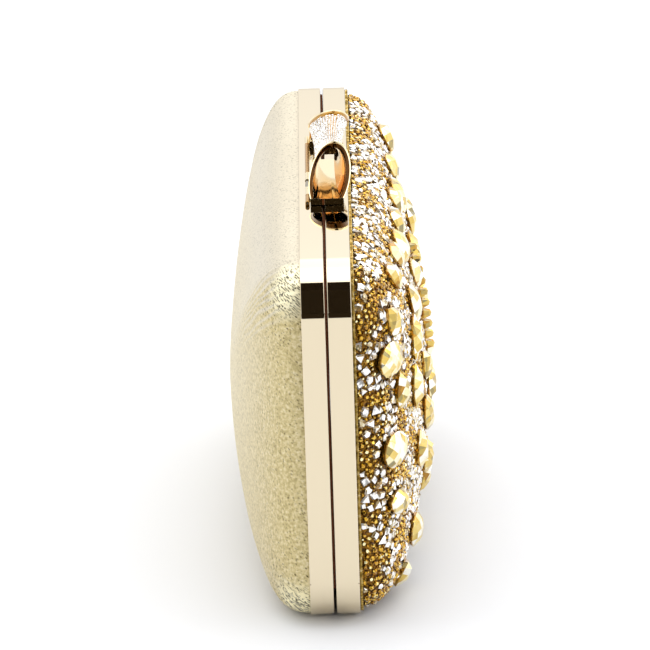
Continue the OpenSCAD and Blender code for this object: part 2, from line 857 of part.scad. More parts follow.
module foot_plates() {
    webs_low = barrel_z - barrel_r + layer_gap;
    color("#e2cfa4")
        difference() {
            union() {
                box([-bow_foot, plate_front, plate_low], [plate_l - bow_foot, plate_back, plate_top]);
                box([bow_foot - foot_l, plate_front, plate_low], [bow_foot, plate_back, plate_top]);
                for (part = clasp_parts) {
                    x_from = barrel_x(part) + knuckle_gap / 2;
                    x_to = barrel_x(part + 1) - knuckle_gap / 2;
                    bar(x_from, x_to, barrel_y, barrel_z, barrel_r);
                    box([x_from, plate_back - overrun, plate_low], [x_to, barrel_y, barrel_z + barrel_r - layer_gap]);
                }
            }
            bar(-half_l, half_l, barrel_y, barrel_z, clasp_pin_r + pin_clearance);
            translate([coil_from, barrel_y, barrel_z + coil_r])
                rotate([90, 0, 0])
                    cylinder(h = spring_leg_l + layer_gap, r = wire_r + pin_clearance);
        }
}

module latch_tooth() {
    color("#c9b27a")
        box([latch_from, tooth_y - tooth_t / 2, plate_low - tooth_h], [latch_to, tooth_y + tooth_t / 2, plate_low]);
}

back_frame();
back_shell();
back_fabric();
back_lining();
back_hinge_leaf();
back_hinge_rivets();
hinge_pin();
clasp_lugs();
clasp_pin();
clasp_spring();
front_frame();
front_shell();
crystal_carpet();
rim_braid();
front_lining();
front_hinge_leaf();
front_hinge_rivets();
catch_spring();
catch_rivets();
oval_stones();
navette_stones();
drop_stones();
square_stones();
bow_cuff();
bow_pave();
bow_rims();
foot_plates();
latch_tooth();
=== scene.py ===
# %% [markdown]
# # A hard-shell evening bag
# The bag's solids were built and packed as CAD, and this script dresses them: a polished gold frame, a
# cloth cover, a carpet of small crystals with large cut stones, and a bow-shaped clasp. The packed
# model is loaded as a fixed frame, so each new piece is drawn in its coordinates: X along the bag, Y
# through it with the cloth on +Y, and Z up.

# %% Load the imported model
import itertools
import math
import random

import bmesh
import bpy
import numpy as np
from mathutils import Matrix, Vector, noise
from mathutils.bvhtree import BVHTree


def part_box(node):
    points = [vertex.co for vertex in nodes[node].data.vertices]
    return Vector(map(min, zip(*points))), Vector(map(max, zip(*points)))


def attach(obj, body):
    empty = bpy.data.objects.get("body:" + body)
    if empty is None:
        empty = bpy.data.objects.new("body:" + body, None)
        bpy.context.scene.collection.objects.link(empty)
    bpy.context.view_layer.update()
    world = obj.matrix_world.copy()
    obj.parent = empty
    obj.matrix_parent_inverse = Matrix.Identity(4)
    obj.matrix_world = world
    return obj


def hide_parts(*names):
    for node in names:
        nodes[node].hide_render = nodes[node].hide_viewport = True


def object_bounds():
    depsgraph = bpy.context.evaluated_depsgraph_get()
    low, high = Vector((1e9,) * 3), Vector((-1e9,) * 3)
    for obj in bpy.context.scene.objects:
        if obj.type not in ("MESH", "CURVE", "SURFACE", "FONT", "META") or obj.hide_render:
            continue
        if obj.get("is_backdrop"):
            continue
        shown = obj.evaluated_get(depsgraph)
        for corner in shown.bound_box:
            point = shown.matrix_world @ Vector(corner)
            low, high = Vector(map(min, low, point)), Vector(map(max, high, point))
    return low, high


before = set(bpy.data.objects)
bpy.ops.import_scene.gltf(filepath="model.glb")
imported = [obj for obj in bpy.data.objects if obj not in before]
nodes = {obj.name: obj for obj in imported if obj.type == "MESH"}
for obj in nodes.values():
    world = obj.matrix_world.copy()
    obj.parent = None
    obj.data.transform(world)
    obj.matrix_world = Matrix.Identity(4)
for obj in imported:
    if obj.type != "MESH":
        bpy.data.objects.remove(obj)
solid_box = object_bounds()
show = bpy.context.scene.collection.objects.link
MM = 0.001
case_low, case_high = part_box("back_frame")
case_l, case_h, frame_w = (case_high.x - case_low.x) / MM, case_high.z / MM, case_high.y / MM
print(f"The frame is {case_l:.1f} mm long, {case_h:.1f} mm high, and its back half {frame_w:.1f} mm wide")

# %% [markdown]
# ## The camera
# The photograph looks at one end of the bag from 1.9 m away, a little from above. Place, turn and focal
# length come from a pinhole camera fitted to the edges of the frame. It looks along its own -Z.
view_yaw, view_pitch, view_roll = math.radians(0.24), math.radians(19.47), math.radians(-1.82)
view_line = Vector((
    math.cos(view_pitch) * math.cos(view_yaw), math.cos(view_pitch) * math.sin(view_yaw), -math.sin(view_pitch)
))
level_right = view_line.cross(Vector((0, 0, 1))).normalized()
level_up = level_right.cross(view_line)
view_right = math.cos(view_roll) * level_right + math.sin(view_roll) * level_up
view_up = -math.sin(view_roll) * level_right + math.cos(view_roll) * level_up

photo_side, focal_length = 650, 6036
lens = bpy.data.cameras.new("Long lens")
lens.sensor_width = 36
lens.lens = lens.sensor_width * focal_length / photo_side
lens.clip_start, lens.clip_end = 0.05, 50
camera = bpy.data.objects.new("Camera", lens)
camera.matrix_world = Matrix.Translation((-1.8917, -0.0070, 0.7347)) @ Matrix(
    (view_right, view_up, -view_line)
).transposed().to_4x4()
show(camera)
bpy.context.scene.camera = camera
print(f"The lens is {lens.lens:.0f} mm long")

# %% [markdown]
# ## Colours and nodes
# Colours are easiest to read as hex values, but shaders work with linear light, so one function turns
# the first into the second. Another adds a node, sets it up and links it, one line for each step.

# %% Helpers for colours and nodes
def hue(code):
    """An sRGB hex colour as linear light."""
    parts = [int(code[i:i + 2], 16) / 255 for i in (1, 3, 5)]
    return (*[c / 12.92 if c <= 0.04045 else ((c + 0.055) / 1.055) ** 2.4 for c in parts], 1)


def join(node, links):
    """Links a node's sockets, given by name or number, to other outputs or to the first one of a node."""
    for socket, source in dict(links).items():
        source = source.outputs[0] if isinstance(source, bpy.types.Node) else source
        node.id_data.links.new(source, node.inputs[socket])


def add(tree, kind, values=(), links=(), stops=(), **settings):
    """Adds a shader node and sets its sockets, given by name or number, its links and its ramp's stops."""
    made = tree.nodes.new("ShaderNode" + kind)
    for name, value in settings.items():
        setattr(made, name, value)
    for socket, value in dict(values).items():
        made.inputs[socket].default_value = value
    join(made, links)
    for number, (place, colour) in enumerate(stops):
        bar = made.color_ramp.elements
        stop = bar[number] if number < len(bar) else bar.new(place)
        stop.position, stop.color = place, hue(colour)
    return made


def new_finish(name, values=()):
    """A material, the tree to draw its recipe in, its surface shader and the coordinates of its piece."""
    finish = bpy.data.materials.new(name)
    finish.use_nodes = True
    tree = finish.node_tree
    tree.nodes.clear()
    skin = add(tree, "BsdfPrincipled", values)
    add(tree, "OutputMaterial", links={"Surface": skin})
    return finish, tree, skin, add(tree, "TexCoord").outputs["Object"]


print("Helpers for colours and nodes are ready")

# %% [markdown]
# ## The studio
# The photograph was taken in a white tent with a pale floor and a large soft light overhead. The dark
# bands on the polished frame's corners are reflections of the unlit room behind the camera. Dark cards
# that only reflections can see stand in for that room.

# %% Lay the floor and hang the dark cards
paper, tree, skin, _ = new_finish("White studio paper", {"Roughness": 0.6, "Base Color": hue("#dbdcde")})
grain = add(tree, "TexNoise", {"Scale": 900.0, "Detail": 2.0})
join(skin, {"Normal": add(tree, "Bump", {"Strength": 0.05, "Distance": 0.0002}, {"Height": grain})})
room = new_finish("Unlit room", {"Roughness": 0.9, "Specular IOR Level": 0.0, "Base Color": hue("#221b12")})[0]

near, edge, far, side, low, top = -0.53, -1.1, -2.4, 0.9, 0.001, 3.2
for name, finish, corners in [
    ("Floor", paper, [(-4, -4, 0), (4, -4, 0), (4, 4, 0), (-4, 4, 0)]),
    ("Dark_floor", room, [(near, side, low), (near, -side, low), (far, -side, low), (far, side, low)]),
    ("Dark_wall", room, [(far, side, low), (far, -side, low), (far, -side, top), (far, side, top)]),
    ("Dark_ceiling", room, [(far, side, top), (far, -side, top), (edge, -side, top), (edge, side, top)]),
]:
    mesh = bpy.data.meshes.new(name)
    mesh.from_pydata(corners, [], [(0, 1, 2, 3)])
    mesh.materials.append(finish)
    card = bpy.data.objects.new(name, mesh)
    show(card)
    card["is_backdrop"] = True
    if finish is room:
        card.visible_camera = card.visible_diffuse = card.visible_shadow = False
    print(f"{name} stands in the studio")

# %% Light the tent
tent = bpy.data.worlds.new("White tent")
tent.use_nodes = True
tree = tent.node_tree
tree.nodes.clear()
smooth_step = {"interpolation_type": "SMOOTHSTEP"}
way = add(tree, "SeparateXYZ", links={0: add(tree, "TexCoord").outputs["Generated"]})
high = add(tree, "MapRange", {1: 0.22, 2: 0.5}, {0: way.outputs[2]}, **smooth_step)
beyond = add(tree, "MapRange", {1: -0.22, 2: -0.1}, {0: way}, **smooth_step)
lamps = add(tree, "Math", links={0: high, 1: beyond}, operation="MULTIPLY")
# The crystal side of the tent faces a window
bright_side = add(tree, "MapRange", {1: 0.1, 2: -0.6, 3: 1.0, 4: 1.3}, {0: way.outputs[1]}, **smooth_step)
level = add(tree, "Math", {1: 0.95}, {0: lamps, 2: bright_side}, operation="MULTIPLY_ADD")
glow = add(tree, "Background", {"Color": hue("#fdfdfe")}, {"Strength": level})
add(tree, "OutputWorld", links={"Surface": glow})
bpy.context.scene.world = tent

lamp = bpy.data.lights.new("Overhead", "AREA")
lamp.shape, lamp.size, lamp.energy = "SQUARE", 1.0, 3
light = bpy.data.objects.new("Overhead", lamp)
place, aim = Vector((0.1, 0.2, 1.5)), Vector((0, 0, 0.05))
light.matrix_world = Matrix.LocRotScale(place, (aim - place).to_track_quat("-Z", "Y"), None)
show(light)
bpy.context.scene.view_settings.view_transform = "Standard"
print("The studio has one overhead light and a white tent")

# %% [markdown]
# ## Metals
# The frame is brass with a thin pale gold plate, polished to a mirror, and the bow's plate is warmer.
# Metal takes its look from its colour, a low roughness and what stands round it. Real plate is never
# perfect, so a faint haze changes its roughness from place to place.

# %% Recipes of the metals
def plated(name, colour, low, high, waviness=0.0):
    """Polished plate: its roughness wanders between low and high in patches some 8 mm wide."""
    finish, tree, skin, where = new_finish(name, {"Metallic": 1.0, "Base Color": hue(colour)})
    haze = add(tree, "TexNoise", {"Scale": 120.0, "Detail": 5.0, "Roughness": 0.65}, {0: where})
    join(skin, {"Roughness": add(tree, "MapRange", {1: 0.3, 2: 0.75, 3: low, 4: high}, {0: haze})})
    if waviness:
        swell = add(tree, "TexNoise", {"Scale": 45.0, "Detail": 1.0}, {0: where})
        join(skin, {"Normal": add(tree, "Bump", {"Strength": waviness, "Distance": 0.001}, {"Height": swell})})
    return finish


def satin(name, colour, roughness, stretch):
    """Brushed or drawn metal: fine lines, drawn 0.3 mm wide so that they show, run along one axis."""
    finish, tree, skin, where = new_finish(name, {"Metallic": 1.0, "Base Color": hue(colour), "Roughness": roughness})
    turned = add(tree, "Mapping", {"Scale": stretch}, {0: where})
    lines = add(tree, "TexNoise", {"Scale": 3000.0, "Detail": 2.0}, {0: turned})
    join(skin, {"Normal": add(tree, "Bump", {"Strength": 0.25, "Distance": 0.00005}, {"Height": lines})})
    return finish


# The pale plate of the frame: a cream mirror
frame_gold = plated("Polished pale gold plate", "#e4d6b9", 0.02, 0.05, 0.02)
# Inside the parting gap the flanges are coloured a dull dark brown: painted shade where no light reaches
gap_painted_shade = new_finish("Dull brown painted shade in the gap", {
    "Roughness": 0.7, "Specular IOR Level": 0.1, "Base Color": hue("#4d3220"),
})[0]
# The warm plate of the bow: two or three reflections in a row turn it amber
bow_gold = plated("Polished warm gold plate", "#f3d2a4", 0.04, 0.1)
# The rims and foot plates of the clasp
rim_gold = plated("Polished gold rim plate", "#f2e2b8", 0.03, 0.08)
# The collar behind each rim and the seat of the small stones: an older, deeper gold
old_gold = plated("Deep gold plate", "#b98c45", 0.12, 0.25)
# The bevel inside each rim: a dark bronze colour, a painted dark reflection, so that the mouth of the bow is drawn
# with a dark line
bronze = plated("Dark plate with a painted dark reflection", "#4c2f12", 0.1, 0.2)
# Hinge leaves and rivets: gold washed brass, brushed before plating
hinge_gold = satin("Brushed gold washed brass", "#d8bf83", 0.3, (0.05, 1, 1))
# Pins and springs: drawn steel wire and strip
spring_steel = satin("Drawn spring steel", "#b5b1a8", 0.28, (0.05, 1, 1))
# The two half shells: deep drawn aluminium sheet, seen only where nothing covers it
drawn_sheet = satin("Deep drawn aluminium", "#bdb6a4", 0.42, (1, 1, 0.05))
print("Eight metals are mixed")

# %% [markdown]
# ## A grid wrapped round a form
# Most pieces are strips or skins that go round the frame. A flat grid whose points are moved gives such
# a skin in one go: the place function says where each crossing of a column and a row lies in
# millimetres, and points that fall together, at a seam or a pole, are merged.

# %% Helpers for grids and pieces
def wrap_grid(columns, rows, place, parts=((),), nearest=0.002):
    """A shape of one grid for each part, with each crossing at place(column, row, *part)."""
    shape = bmesh.new()
    for part in parts:
        for point in bmesh.ops.create_grid(shape, x_segments=columns, y_segments=rows, size=0.5)["verts"]:
            column, row = round((point.co.x + 0.5) * columns), round((point.co.y + 0.5) * rows)
            point.co = Vector(place(column, row, *part)) * MM
    bmesh.ops.remove_doubles(shape, verts=shape.verts, dist=nearest * MM)
    bmesh.ops.recalc_face_normals(shape, faces=shape.faces)
    return shape


def to_mesh(name, shape):
    """Ends a shape and gives its mesh."""
    mesh = bpy.data.meshes.new(name)
    shape.to_mesh(mesh)
    shape.free()
    return mesh


def place_piece(name, mesh, finish, body, stands_for=()):
    """Puts a mesh into the scene as a piece that rides on its body."""
    mesh.materials.append(finish)
    piece = bpy.data.objects.new(name, mesh)
    show(piece)
    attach(piece, body)
    if stands_for:
        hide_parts(*stands_for)
    print(f"{name}: {sum(len(face.vertices) - 2 for face in mesh.polygons)} triangles")
    return piece


def make_piece(name, shape, finish, body, stands_for=(), crease=50):
    """Makes a piece of a shape, smooth but at its creases."""
    for face in shape.faces:
        face.smooth = True
    for edge in shape.edges:
        if len(edge.link_faces) == 2 and edge.calc_face_angle() > math.radians(crease):
            edge.smooth = False
    return place_piece(name, to_mesh(name, shape), finish, body, stands_for)


def even_shading(piece):
    """Large faces keep their own direction, so that a soft edge doesn't bend their reflections."""
    piece.modifiers.new("Even shading", "WEIGHTED_NORMAL").keep_sharp = True


# %% [markdown]
# ## The frame
# Each half of the frame is a band of folded brass with a flange along the parting line. Its L-shaped
# section is drawn once, softened with the bevel operator, since round edges catch the light as bright
# lines beside the dark gap, and carried round the rounded rectangle.

# %% Draw the path round the frame
corner_r = 15.5


def path_round(corner_steps, long_steps, side_steps):
    """Stations round the frame from its right side on: (x, z) on the outside and the way out."""
    stations = []
    for corner, (side, top) in enumerate([(1, 1), (-1, 1), (-1, -1), (1, -1)]):
        middle = (side * (case_l / 2 - corner_r), case_h / 2 + top * (case_h / 2 - corner_r))
        steps, straight = (side_steps, case_h - 2 * corner_r) if corner % 2 else (long_steps, case_l - 2 * corner_r)
        bend = [(90 * corner + 90 * step / corner_steps, 0) for step in range(corner_steps)]
        side_line = [(90 * corner + 90, straight * step / steps) for step in range(steps)]
        for turn, gone in bend + side_line:
            c, s = math.cos(math.radians(turn)), math.sin(math.radians(turn))
            stations.append((middle[0] + corner_r * c - gone * s, middle[1] + corner_r * s + gone * c, c, s))
    return stations


def soft_outline(corners, steps):
    """A closed outline whose corners, each given with its radius, are rounded off."""
    outline = bmesh.new()
    points = [outline.verts.new((a, b, 0)) for a, b, radius in corners]
    outline.faces.new(points)
    for point, (*_, radius) in zip(points, corners):
        bmesh.ops.bevel(
            outline, geom=[point], offset=radius, offset_type="OFFSET", segments=steps, profile=0.5,
            affect="VERTICES", material=-1,
        )
    outline.faces.ensure_lookup_table()
    line = [(point.co.x, point.co.y) for point in outline.faces[0].verts]
    outline.free()
    return line


def strip_round(outline, stations, side=1):
    """Carries a closed outline of (y, depth) round the frame."""
    def place(column, row):
        x, z, out_x, out_z = stations[column % len(stations)]
        y, depth = outline[row % len(outline)]
        return x - depth * out_x, side * y, z - depth * out_z
    return wrap_grid(len(stations), len(outline), place)


band_path = path_round(24, 12, 8)
print(f"The path round the frame has {len(band_path)} stations")

# %% Sweep and cut the two bands
half_gap, frame_wall, flange_t, flange_depth = 0.4, 0.8, 1, 6
band_outline = soft_outline([
    (half_gap, 0, 0.3), (frame_w, 0, 0.25), (frame_w, frame_wall, 0.2), (half_gap + flange_t, frame_wall, 0.3),
    (half_gap + flange_t, flange_depth, 0.2), (half_gap, flange_depth, 0.2),
], 4)


def block(low, high):
    """A box between two corners, in millimetres, to cut with."""
    shape, low, high = bmesh.new(), Vector(low) * MM, Vector(high) * MM
    bmesh.ops.create_cube(shape, size=1, matrix=Matrix.LocRotScale((low + high) / 2, None, high - low))
    return shape


def rod(start, end, radius, sides=48):
    """A round bar along X, in millimetres, to cut with."""
    shape = bmesh.new()
    bmesh.ops.create_cone(
        shape, cap_ends=True, segments=sides, radius1=radius * MM, radius2=radius * MM, depth=(end[0] - start[0]) * MM,
        matrix=Matrix.Translation((Vector(start) + Vector(end)) / 2 * MM) @ Matrix.Rotation(math.pi / 2, 4, "Y"),
    )
    return shape


def cut_from(piece, shapes):
    """Cuts shapes away from a piece and keeps the result as its mesh."""
    knives = []
    for shape in shapes:
        knives.append(bpy.data.objects.new("Knife", to_mesh("Knife", shape)))
        show(knives[-1])
        cut = piece.modifiers.new("Cut", "BOOLEAN")
        cut.operation, cut.solver, cut.object = "DIFFERENCE", "EXACT", knives[-1]
    whole = piece.data
    piece.data = bpy.data.meshes.new_from_object(piece.evaluated_get(bpy.context.evaluated_depsgraph_get()))
    piece.modifiers.clear()
    bpy.data.meshes.remove(whole)
    for knife in knives:
        bpy.data.objects.remove(knife)
    print(f"{piece.name} is cut {len(shapes)} times")


case_end, pin_z, bore_r, leaf_end, nick_z, half_nick = round(case_l / 2), 1.2, 1.6, 60.2, 15.5, 0.25
for half, side in [("back", 1), ("front", -1)]:
    strip = strip_round(band_outline, band_path, side)
    band = make_piece(f"{half.title()}_band", strip, frame_gold, f"{half}_half", [f"{half}_frame"])
    # The flange faces that look into the gap take the dark brown painted shade
    band.data.materials.append(gap_painted_shade)
    for face in band.data.polygons:
        if abs(face.center.y) < (half_gap + 0.03) * MM:
            face.material_index = 1
    # The bore of the hinge, the seat of its leaf, a joint mark at both ends and the pocket of the latch
    knives = [
        rod((-case_end, 0, pin_z), (case_end, 0, pin_z), bore_r),
        block((-leaf_end, side * 0.2 - 1.2, 0.8), (leaf_end, side * 0.2 + 1.2, 7)),
    ]
    low_y, high_y = sorted((side * 7.5, side * 9))
    for x in (-case_end, case_end):
        low, high = (x - half_nick, low_y, nick_z - half_nick), (x + half_nick, high_y, nick_z + half_nick)
        knives.append(block(low, high))
    if side < 0:
        knives.append(block((-24, -5.5, 118.65), (-16, 1, 121)))
    cut_from(band, knives)
    even_shading(band)

# %% [markdown]
# ## The edge of the lining
# No light falls through the parting gap, because the edge of the lining is folded over the flange of
# the back half. It shows as a thin red-brown line between the two bands, and ends at the base hinge.

# %% Fold the edge of the lining into the gap
folded, tree, skin, where = new_finish("Red brown lining edge", {"Roughness": 0.85, "Specular IOR Level": 0.1})
weave = add(tree, "TexNoise", {"Scale": 2500.0, "Detail": 1.0}, {0: where})
join(skin, {"Base Color": add(tree, "ValToRGB", links={0: weave}, stops=[(0.3, "#6a3a20"), (0.7, "#a8694a")])})
edge_outline = soft_outline([(-0.28, 2.3, 0.1), (0.42, 2.3, 0.05), (0.42, 3.3, 0.05), (-0.28, 3.3, 0.1)], 3)
edge_path = [(x, z, out_x, out_z) for x, z, out_x, out_z in band_path if z > 12]
first = max(range(len(edge_path)), key=lambda i: math.dist(edge_path[i][:2], edge_path[i - 1][:2]))
edge_path = edge_path[first:] + edge_path[:first]


def place_edge(column, row):
    x, z, out_x, out_z = edge_path[min(max(column - 1, 0), len(edge_path) - 1)]
    y, depth = edge_outline[row % len(edge_outline)] if 0 < column <= len(edge_path) else (0.07, 2.2)
    return x - depth * out_x, y, z - depth * out_z


strip = wrap_grid(len(edge_path) + 1, len(edge_outline), place_edge)
make_piece("Lining_edge", strip, folded, "back_half")

# %% [markdown]
# ## The form of the domes
# Each half swells out by the formula of the CAD source. A point is given by its angle round the frame
# and its share of the way from crown to rim. Near the rim it follows the rounded rectangle, near the
# crown a plump oval, and the crown lies a little low.

# %% Formula of the domes
def rim_radius(angle, inset):
    """Distance from the middle of the frame to its rounded outline."""
    c, s, a, b = abs(math.cos(angle)), abs(math.sin(angle)), case_l / 2 - inset, case_h / 2 - inset
    cx, cz, r = case_l / 2 - corner_r, case_h / 2 - corner_r, corner_r - inset
    if s * a <= c * cz:
        return a / c
    if c * b <= s * cx:
        return b / s
    dot = c * cx + s * cz
    return dot + math.sqrt(max(0, dot * dot - cx * cx - cz * cz + r * r))


def dome_point(angle, share, inset, swell, form):
    """A point of a dome drawn for the back half. The form is crown, side, blend and drop."""
    crown, side, blend, drop = form
    across, up = abs(math.cos(angle)) / (case_l / 2 - inset), abs(math.sin(angle)) / (case_h / 2 - inset)
    oval = (across ** 1.7 + up ** 1.7) ** (-1 / 1.7)
    mixed = (1 - share) * blend
    reach = share * ((1 - mixed) * rim_radius(angle, inset) + mixed * oval)
    rise = swell * max(0, 1 - share ** crown) ** (1 / side)
    return Vector((
        reach * math.cos(angle), frame_w + rise, case_h / 2 + reach * math.sin(angle) - drop * (1 - share * share)
    ))


def dome_direction(angle, share, *form, step=0.004):
    """The outward direction of a dome at a point."""
    share = min(max(share, 2 * step), 1 - 2 * step)
    round_it = dome_point(angle + step, share, *form) - dome_point(angle - step, share, *form)
    inwards = dome_point(angle, share - step, *form) - dome_point(angle, share + step, *form)
    out = round_it.cross(inwards).normalized()
    return out if out.y > 0 else -out


back_form, front_form = (1.77, 2.47, 0.77, 9.8), (2.05, 2.38, 1, 11.5)
back_swell, front_swell, tucked = 25, 24.6, 1.6
dome_path = path_round(36, 80, 40)
dome_angles = [math.atan2(z - case_h / 2, x) for x, z, out_x, out_z in dome_path]


def dome_skin(inset, swell, form, side, rings, shift):
    """The skin of a dome, tucked into the band. shift(angle, share) moves a point outwards."""
    def place(column, row):
        angle = dome_angles[column % len(dome_angles)]
        share = 1 if row < 2 else math.cos(math.pi / 2 * (row - 1) / rings)
        point = dome_point(angle, share, inset, swell, form)
        if row == 0:
            point.y -= tucked
        elif row < rings + 1:
            point += shift(angle, share) * dome_direction(angle, share, inset, swell, form)
        return point.x, side * point.y, point.z
    return wrap_grid(len(dome_angles), rings + 1, place, nearest=0.02)


crown = dome_point(0, 0, 0, back_swell, back_form)
print(f"The back dome's crown lies at Y {crown.y:.1f} and Z {crown.z:.1f} mm")

# %% [markdown]
# ## The cloth cover
# The back half wears a finely crinkled cloth of metallic thread, stretched over the shell and glued
# under the band. Where it goes round a corner it is too long, and gathers in small pleats that fade out
# inwards. The shell holds it everywhere, so a simulation would change nothing, and the pleats are
# raised straight on the skin.

# %% Recipe of the cloth
cloth, tree, skin, where = new_finish("Crinkled cloth of metallic thread", {
    "Metallic": 0.6, "Roughness": 0.45, "Coat Weight": 0.15, "Coat Roughness": 0.35,
    "Sheen Weight": 0.12, "Sheen Roughness": 0.4, "Sheen Tint": hue("#fbf8f0"),
})
# Short creases slant across the whole cloth, and longer and finer wrinkles are drawn at its corners
bent = add(tree, "TexNoise", {"Scale": 260.0, "Detail": 2.0}, {0: where})
shoved = add(tree, "VectorMath", {"Scale": 1.1}, {0: bent.outputs["Color"]}, operation="SCALE")
fields = []
for slant, cell in [(45, (0.9, 1.35, 0.75)), (38, (1.6, 2.6, 0.42))]:
    space = {"Rotation": (math.radians(slant), 0, 0), "Scale": [side * MM for side in cell]}
    slanted = add(tree, "Mapping", space, {0: where}, vector_type="TEXTURE")
    spot = add(tree, "VectorMath", links={0: slanted, 1: shoved}, operation="ADD")
    fields.append(add(tree, "TexVoronoi", {"Scale": 1.0, "Randomness": 1.0}, {0: spot}))
creases, wrinkles = fields
tones = add(tree, "SeparateColor", links={0: creases.outputs["Color"]})
# Threads of the weave differ in tone from patch to patch
patch = add(tree, "TexNoise", {"Scale": 900.0, "Detail": 3.0, "Roughness": 0.7}, {0: where})
thread = add(tree, "ValToRGB", links={0: patch}, stops=[(0.3, "#a4925a"), (0.5, "#cbba84"), (0.7, "#e2d5ad")])
# A pale grey painted sheen is mixed into the thread tones where the cloth leans back towards the light overhead
slope = add(tree, "SeparateXYZ", links={0: add(tree, "NewGeometry").outputs["True Normal"]})
leaning = add(tree, "MapRange", {1: -0.1, 2: 0.5, 3: 0.0, 4: 0.8}, {0: slope.outputs[2]}, **smooth_step)
thread_with_painted_sheen = add(tree, "Mix", {7: hue("#cec6b4")}, {0: leaning, 6: thread}, data_type="RGBA")
# How far a place is from the nearest of the four corners, where the painted shade in the creases is deepest
centred = add(tree, "VectorMath", {1: (0, 0, case_h / 2 * MM)}, {0: where}, operation="SUBTRACT")
mirrored = add(tree, "VectorMath", links={0: centred}, operation="ABSOLUTE")
away = add(tree, "VectorMath", {1: (0.1, 0.012, 0.054)}, {0: mirrored}, operation="DISTANCE").outputs["Value"]
corner_crease_shade = add(tree, "MapRange", {1: 0.006, 2: 0.02, 3: 1.6, 4: 0.7}, {0: away})
# The creases are darkened with painted shade, by a random amount for each crease
depth = add(tree, "MapRange", {1: 0.2, 2: 0.42, 3: 1.0, 4: 0.0}, {0: creases})
shown = add(tree, "Math", links={0: depth, 1: tones}, operation="MULTIPLY")
faint = add(tree, "Math", links={0: shown, 1: corner_crease_shade}, operation="MULTIPLY")
# Right at the corners a pale painted highlight is laid on the cloth, with sharp wrinkles across it drawn in painted
# shade
near_corner = add(tree, "MapRange", {1: 0.005, 2: 0.012, 3: 0.8, 4: 0.0}, {0: away})
sharp = add(tree, "MapRange", {1: 0.22, 2: 0.5, 3: 1.4, 4: 0.0}, {0: wrinkles})
drawn = add(tree, "Math", links={0: sharp, 1: near_corner}, operation="MULTIPLY")
strength = add(tree, "Math", links={0: faint, 1: drawn}, operation="MAXIMUM")
painted_corner_highlight = add(tree, "Mix", {7: hue("#fbf3cc")}, {0: near_corner, 6: thread_with_painted_sheen.outputs[2]}, data_type="RGBA")
# Painted shade colours of the creases, darkest right at the corners
crease = add(tree, "Mix", {6: hue("#4f4418"), 7: hue("#1f1a08")}, {0: near_corner}, data_type="RGBA")
mixed = add(tree, "Mix", links={0: strength, 6: painted_corner_highlight.outputs[2], 7: crease.outputs[2]}, data_type="RGBA")
height = add(tree, "Math", {1: -1.0}, {0: strength, 2: patch}, operation="MULTIPLY_ADD")
crinkle = add(tree, "Bump", {"Strength": 0.35, "Distance": 0.0002}, {"Height": height})
join(skin, {"Base Color": mixed.outputs[2], "Normal": crinkle})
print("The cloth's creases are 0.9 mm long and 0.3 mm wide")

# %% Stretch the cover over the back half
turn = math.atan2(case_h / 2 - corner_r * 0.29, case_l / 2 - corner_r * 0.29)
corner_turns = [turn, math.pi - turn, -turn, turn - math.pi]


def pleats(angle, share):
    """Height of the pleats near the four corners of the cover."""
    lift = 0
    for corner in corner_turns:
        away = math.remainder(angle - corner, 2 * math.pi) * rim_radius(corner, 0)
        inwards = max(0, (share - 0.5) / 0.5) ** 1.4 * (1 - 0.6 * max(0, share - 0.97) / 0.03)
        waver = noise.noise(Vector((away / 7, share * 9, corner)))
        wave = math.cos(2 * math.pi * (away + 2.5 * waver) / 2.9)
        lift += math.exp(-(away / 11) ** 2) * inwards * (0.22 + 0.3 * wave + 0.4 * waver)
    return lift


cover = make_piece(
    "Cloth_cover", dome_skin(0.9, back_swell, back_form, 1, 56, pleats), cloth, "back_half",
    ["back_fabric"], 80,
)

# %% [markdown]
# ## The linings
# Both halves are lined with bronze satin. It is smooth, with soft highlights along its threads, and
# lies in shallow ripples where it is glued into the hollow.

# %% Line both halves
satin_cloth, tree, skin, where = new_finish("Bronze satin lining", {
    "Roughness": 0.38, "Base Color": hue("#8a7548"), "Anisotropic": 0.5,
    "Sheen Weight": 0.5, "Sheen Tint": hue("#e9d7a4"),
})
# Threads of a satin are some 0.12 mm apart, and are drawn 0.4 mm apart so that they show
weave = add(tree, "TexWave", {"Scale": 780.0, "Distortion": 0.6}, {0: where}, bands_direction="Z")
join(skin, {"Normal": add(tree, "Bump", {"Strength": 0.12, "Distance": 0.0001}, {"Height": weave.outputs["Fac"]})})


def ripples(angle, share):
    """Shallow ripples of a glued lining."""
    return 0.12 * noise.noise(Vector((angle * 9, share * 7, 0))) * (1 - share)


for half, inset, swell, form, side in [
    ("back", 3.75, back_swell - 2.8, back_form, 1), ("front", 4.75, front_swell - 3.2, front_form, -1),
]:
    lining = make_piece(
        f"{half.title()}_lining_cloth", dome_skin(inset, swell, form, side, 24, ripples), satin_cloth, f"{half}_half",
        [f"{half}_lining"], 80,
    )

# %% [markdown]
# ## The bed of the crystals
# The front half carries a bed of gold-tinted resin, which shows between the stones as dark honey seams: its own
# colour, deepened with painted shade.
# The imported solid of this layer has low clumps, about 9 mm apart, where the stones are piled up. A ray
# cast against it says how deep a place lies, so bed and stones rise and fall with it.

# %% Pour the bed
bed_mix, tree, skin, where = new_finish("Gold filled resin", {"Metallic": 0.75, "Roughness": 0.35})
# Gold powder in the resin, in grains some 0.7 mm wide, with painted shade darkening the hollows between grains
beads = add(tree, "TexVoronoi", {"Scale": 1400.0}, {0: where})
grain = add(tree, "ValToRGB", links={0: beads}, stops=[(0.0, "#c4922c"), (0.35, "#8d6215"), (0.75, "#3c2505")])
bump = add(tree, "Bump", {"Strength": 0.8, "Distance": 0.0003}, {"Height": beads}, invert=True)
join(skin, {"Base Color": grain, "Normal": bump})

